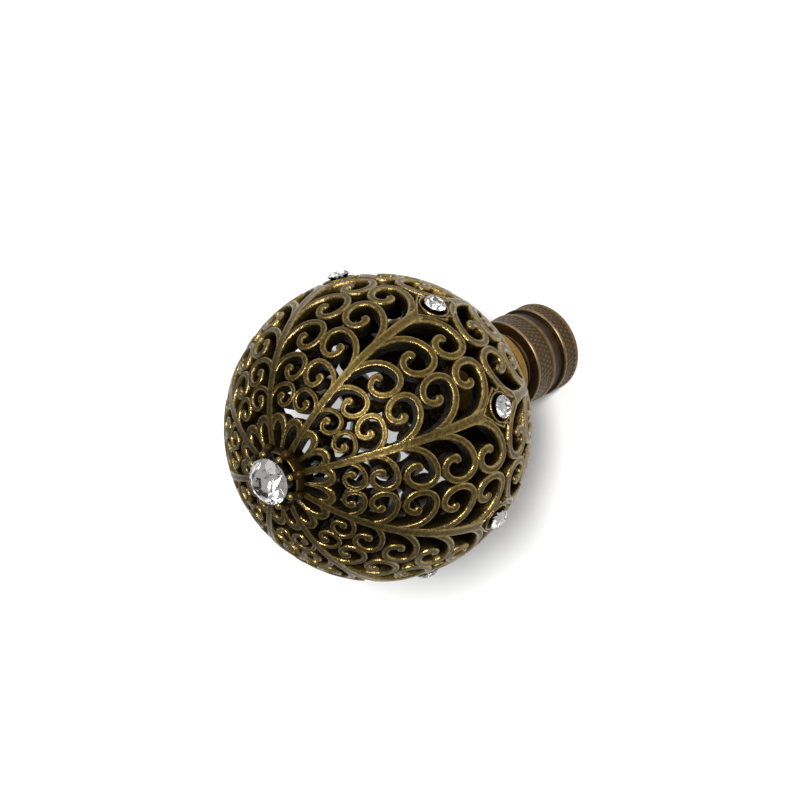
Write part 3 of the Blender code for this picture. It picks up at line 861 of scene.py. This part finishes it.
def cast_brass():
    """Antique brass, cast and toned: painted shade in the hollows, olive gold faces, rubbed edges.
    """
    material, tree, shader = blank_material("antique_cast_brass")
    coords = add_node(tree, "ShaderNodeTexCoord")
    # Painted shade: darker towards the ball's centre, from 0.1 mm under the outer face to near
    # black 1.5 mm under it, down the walls of the openings
    from_centre = add_node(
        tree,
        "ShaderNodeVectorMath",
        {"operation": "DISTANCE", 1: (0.0, 0.0, BALL_CENTRE_Z)},
        {0: coords.outputs["Object"]},
    )
    depth = add_node(
        tree,
        "ShaderNodeMapRange",
        {"From Min": BALL_RADIUS - 1.5 * MM, "From Max": BALL_RADIUS - 0.1 * MM},
        {"Value": from_centre.outputs["Value"]},
    )
    # Clouds of tone about 3 mm across, and cast grain about 0.25 mm across
    clouds = add_node(
        tree,
        "ShaderNodeTexNoise",
        {"Scale": 1 / (3.0 * MM), "Detail": 4.0, "Roughness": 0.6},
        {"Vector": coords.outputs["Object"]},
    )
    grain = add_node(
        tree,
        "ShaderNodeTexNoise",
        {"Scale": 1 / (0.25 * MM), "Detail": 3.0, "Roughness": 0.6},
        {"Vector": coords.outputs["Object"]},
    )
    wear_and_shade = add_node(tree, "ShaderNodeAttribute", {"attribute_name": "wear_and_shade"})
    # Painted shade, too, where the wear value is below zero
    out_of_painted_shade = add_node(
        tree,
        "ShaderNodeMapRange",
        {"From Min": -1.0, "From Max": 0.0},
        {"Value": wear_and_shade.outputs["Fac"]},
    )
    unshaded_share = add_node(
        tree,
        "ShaderNodeMath",
        {"operation": "MULTIPLY"},
        {0: depth.outputs["Result"], 1: out_of_painted_shade.outputs["Result"]},
    )
    # Mixes the painted shade's near black into the faces' olive brown
    painted_shade_mix = add_node(
        tree,
        "ShaderNodeMix",
        {"data_type": "RGBA", 6: srgb("#0f0b07"), 7: srgb("#4c3c1b")},
        {0: unshaded_share.outputs[0]},
    )
    toned = add_node(
        tree,
        "ShaderNodeMix",
        {"data_type": "RGBA", "blend_type": "OVERLAY", 0: 0.6},
        {6: painted_shade_mix.outputs[2], 7: clouds.outputs["Fac"]},
    )
    # Brown spots of patina, about 0.5 mm across, which the rubbing left on the flats
    spots = add_node(
        tree,
        "ShaderNodeTexNoise",
        {"Scale": 1 / (0.5 * MM), "Detail": 4.0, "Roughness": 0.7},
        {"Vector": coords.outputs["Object"]},
    )
    spotted_share = add_node(
        tree,
        "ShaderNodeMapRange",
        {"From Min": 0.44, "From Max": 0.62, "To Min": 0.0, "To Max": 0.85},
        {"Value": spots.outputs["Fac"]},
    )
    spotted = add_node(
        tree,
        "ShaderNodeMix",
        {"data_type": "RGBA", 7: srgb("#2e2311")},
        {0: spotted_share.outputs["Result"], 6: toned.outputs[2]},
    )
    patchy = add_node(
        tree,
        "ShaderNodeMapRange",
        {"From Min": 0.35, "From Max": 0.65, "To Min": 1.0, "To Max": 0.35},
        {"Value": spots.outputs["Fac"]},
    )
    rubbed_share = add_node(
        tree,
        "ShaderNodeMath",
        {"operation": "MULTIPLY", "use_clamp": True},
        {0: wear_and_shade.outputs["Fac"], 1: patchy.outputs["Result"]},
    )
    rubbed = add_node(
        tree,
        "ShaderNodeMix",
        {"data_type": "RGBA", 7: srgb("#94804f")},
        {0: rubbed_share.outputs[0], 6: spotted.outputs[2]},
    )
    dull = add_node(
        tree,
        "ShaderNodeMapRange",
        {"From Min": 0.0, "From Max": 1.0, "To Min": 0.46, "To Max": 0.22},
        {"Value": wear_and_shade.outputs["Fac"]},
    )
    # Soft unevenness of the casting, about 0.7 mm across
    swell = add_node(
        tree,
        "ShaderNodeTexNoise",
        {"Scale": 1 / (0.7 * MM), "Detail": 2.0, "Roughness": 0.5},
        {"Vector": coords.outputs["Object"]},
    )
    uneven = add_node(
        tree,
        "ShaderNodeBump",
        {"Strength": 0.8, "Distance": 0.12 * MM},
        {"Height": swell.outputs["Fac"]},
    )
    bump = add_node(
        tree,
        "ShaderNodeBump",
        {"Strength": 0.8, "Distance": 0.07 * MM},
        {"Height": grain.outputs["Fac"], "Normal": uneven.outputs["Normal"]},
    )
    shader.inputs["Metallic"].default_value = 1.0
    tree.links.new(rubbed.outputs[2], shader.inputs["Base Color"])
    tree.links.new(dull.outputs["Result"], shader.inputs["Roughness"])
    tree.links.new(bump.outputs["Normal"], shader.inputs["Normal"])
    return material


def turned_brass():
    """Antique brass, turned and knurled: browner and duller, with painted shade in the cuts."""
    material, tree, shader = blank_material("antique_turned_brass")
    coords = add_node(tree, "ShaderNodeTexCoord")
    wear_and_shade = add_node(tree, "ShaderNodeAttribute", {"attribute_name": "wear_and_shade"})
    # Rings left by the tool, about 0.12 mm apart along the axis
    rings = add_node(tree, "ShaderNodeMapping", {"Scale": (60.0, 60.0, 1 / (0.12 * MM))})
    tree.links.new(coords.outputs["Object"], rings.inputs["Vector"])
    tooled = add_node(
        tree,
        "ShaderNodeTexNoise",
        {"Scale": 1.0, "Detail": 2.0},
        {"Vector": rings.outputs["Vector"]},
    )
    clouds = add_node(
        tree,
        "ShaderNodeTexNoise",
        {"Scale": 1 / (1.5 * MM), "Detail": 4.0, "Roughness": 0.65},
        {"Vector": coords.outputs["Object"]},
    )
    # Low wear is dark: painted shade in the knurl's cuts and over the upper band, and patina with
    # painted shade in the groove
    tone = add_node(
        tree,
        "ShaderNodeMix",
        {"data_type": "RGBA", 6: srgb("#231a0e"), 7: srgb("#7a6447")},
        {0: wear_and_shade.outputs["Fac"]},
    )
    # The bead and neck under the ball were polished: golden and smoother above the bead's foot
    height = add_node(tree, "ShaderNodeSeparateXYZ", None, {0: coords.outputs["Object"]})
    foot = add_node(
        tree,
        "ShaderNodeMapRange",
        {"From Min": POLISHED_FROM, "From Max": POLISHED_ABOVE},
        {"Value": height.outputs["Z"]},
    )
    polished = add_node(
        tree,
        "ShaderNodeMapRange",
        {
            "From Min": POLISHED_FROM,
            "From Max": POLISHED_ABOVE,
            "To Min": 0.40,
            "To Max": 0.22,
        },
        {"Value": height.outputs["Z"]},
    )
    golden = add_node(
        tree,
        "ShaderNodeMix",
        {"data_type": "RGBA", 7: srgb("#83652f")},
        {0: foot.outputs["Result"], 6: tone.outputs[2]},
    )
    # Brown patina lies in clouds about 1.5 mm across over all of it
    patina_share = add_node(
        tree,
        "ShaderNodeMapRange",
        {"From Min": 0.42, "From Max": 0.68, "To Min": 0.05, "To Max": 0.7},
        {"Value": clouds.outputs["Fac"]},
    )
    clouded = add_node(
        tree,
        "ShaderNodeMix",
        {"data_type": "RGBA", 7: srgb("#45351c")},
        {0: patina_share.outputs["Result"], 6: golden.outputs[2]},
    )
    bump = add_node(
        tree,
        "ShaderNodeBump",
        {"Strength": 0.2, "Distance": 0.02 * MM},
        {"Height": tooled.outputs["Fac"]},
    )
    shader.inputs["Metallic"].default_value = 1.0
    tree.links.new(polished.outputs["Result"], shader.inputs["Roughness"])
    tree.links.new(clouded.outputs[2], shader.inputs["Base Color"])
    tree.links.new(bump.outputs["Normal"], shader.inputs["Normal"])
    return material


def clear_crystal():
    """Lead crystal, cut and polished: see-through with hard bright facets."""
    material, _, shader = blank_material("clear_lead_crystal")
    shader.inputs["Base Color"].default_value = (1.0, 1.0, 1.0, 1.0)
    shader.inputs["Roughness"].default_value = 0.0
    shader.inputs["IOR"].default_value = 1.56
    shader.inputs["Transmission Weight"].default_value = 1.0
    return material


def silver_foil():
    """Silver foil on the back of a stone: throws the light back through the facets."""
    material, tree, shader = blank_material("silver_foil_backing")
    coords = add_node(tree, "ShaderNodeTexCoord")
    mottle = add_node(
        tree,
        "ShaderNodeTexNoise",
        {"Scale": 1 / (0.6 * MM), "Detail": 2.0},
        {"Vector": coords.outputs["Object"]},
    )
    tone = add_node(
        tree,
        "ShaderNodeMix",
        {"data_type": "RGBA", 6: srgb("#ece9e4"), 7: srgb("#f7f6f4")},
        {0: mottle.outputs["Fac"]},
    )
    shader.inputs["Metallic"].default_value = 1.0
    shader.inputs["Roughness"].default_value = 0.06
    tree.links.new(tone.outputs[2], shader.inputs["Base Color"])
    return material


def paper_floor():
    """Matt white backdrop paper."""
    material, tree, shader = blank_material("matt_white_paper")
    coords = add_node(tree, "ShaderNodeTexCoord")
    fibres = add_node(
        tree,
        "ShaderNodeTexNoise",
        {"Scale": 1 / (2.0 * MM), "Detail": 3.0},
        {"Vector": coords.outputs["Object"]},
    )
    tone = add_node(
        tree,
        "ShaderNodeMix",
        {"data_type": "RGBA", 6: srgb("#f6f6f5"), 7: srgb("#fafafa")},
        {0: fibres.outputs["Fac"]},
    )
    shader.inputs["Roughness"].default_value = 0.9
    tree.links.new(tone.outputs[2], shader.inputs["Base Color"])
    return material


def view_axes():
    """The shared frame's axes as the camera sees them: right, up and towards the camera."""
    pole = Vector((
        math.sin(AXIS_TILT) * math.cos(AXIS_DIRECTION),
        math.sin(AXIS_TILT) * math.sin(AXIS_DIRECTION),
        math.cos(AXIS_TILT),
    ))
    level = (Vector((0.0, 0.0, 1.0)) - pole * pole.z).normalized()
    beside = pole.cross(level)
    east = level * math.cos(AXIS_TURN) + beside * math.sin(AXIS_TURN)
    return Matrix((east, pole.cross(east), pole)).transposed()


def seen_from_camera(right, up, towards):
    """Place in the shared frame of a point given from the ball's centre, as the camera sees it."""
    return BALL_CENTRE + view_axes().transposed() @ Vector((right, up, towards))


def add_camera():
    """A long lens at the photograph's viewing angle."""
    data = bpy.data.cameras.new("camera")
    data.sensor_width = SENSOR
    data.lens = FOCAL_PIXELS / PICTURE_PIXELS * SENSOR
    camera = linked("camera", data)
    turn = view_axes().transposed().to_4x4()
    place = seen_from_camera(-VIEW_RIGHT, -VIEW_UP, VIEW_DISTANCE)
    camera.matrix_world = Matrix.Translation(place) @ turn
    bpy.context.scene.camera = camera


def add_area_light(name, place, size, power):
    data = bpy.data.lights.new(name, "AREA")
    data.shape = "DISK"
    data.size = size
    data.energy = power
    light = linked(name, data)
    light.location = place
    aim = BALL_CENTRE - place
    light.rotation_euler = aim.to_track_quat("-Z", "Y").to_euler()


def add_studio():
    """White paper floor, white room, a small key light and a broad panel."""
    bpy.ops.object.select_all(action="DESELECT")
    bpy.ops.mesh.primitive_plane_add(size=FLOOR_SIZE, location=(0.0, 0.0, 0.0))
    floor = bpy.context.active_object
    floor.name = "floor"
    floor.data.materials.append(paper_floor())
    world = bpy.data.worlds.new("soft_white_room")
    bpy.context.scene.world = world
    world.use_nodes = True
    sky = world.node_tree.nodes["Background"]
    sky.inputs["Color"].default_value = srgb("#ffffff")
    sky.inputs["Strength"].default_value = ROOM_STRENGTH
    add_area_light("key", seen_from_camera(*KEY_PLACE), KEY_SIZE, KEY_POWER)
    add_area_light("panel", seen_from_camera(*PANEL_PLACE), PANEL_SIZE, PANEL_POWER)
    bpy.context.scene.view_settings.view_transform = "Standard"


def dress():
    """Puts a finished piece over each solid."""
    brass = cast_brass()
    base_brass = turned_brass()
    glass = clear_crystal()
    foil = silver_foil()

    ball = scrollwork_ball()
    claws = [claw(2 * HALF_SECTOR * sector) for sector in range(SECTORS)]
    ball = joined([ball, *claws], "scrollwork_ball")
    ball.data.materials.append(brass)
    smoothed(ball, BALL_SMOOTH_BELOW)
    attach(ball, "root")
    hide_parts("finial_ball")

    pole = Vector((0.0, 0.0, BALL_CENTRE_Z + TOP_STONE_RISE))
    stone = brilliant("top_stone_cut", TOP_STONE_RADIUS, pole, (0.0, 0.0, 1.0), glass, foil)
    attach(stone, "root")
    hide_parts("top_crystal")
    for sector in range(SECTORS):
        turn = 2 * HALF_SECTOR * sector
        place = Vector(ball_place(turn, STONE_LATITUDE, SIDE_STONE_RISE))
        outward = place - BALL_CENTRE
        name = "side_stone_cut_%d" % (sector + 1)
        stone = brilliant(name, SIDE_STONE_RADIUS, place, outward, glass, foil)
        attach(stone, "root")
        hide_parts("side_crystal_%d" % (sector + 1))

    base = knurled_base()
    base.data.materials.append(base_brass)
    smoothed(base, BASE_SMOOTH_BELOW)
    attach(base, "root")
    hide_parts("knurled_base")


dress()
add_studio()
add_camera()
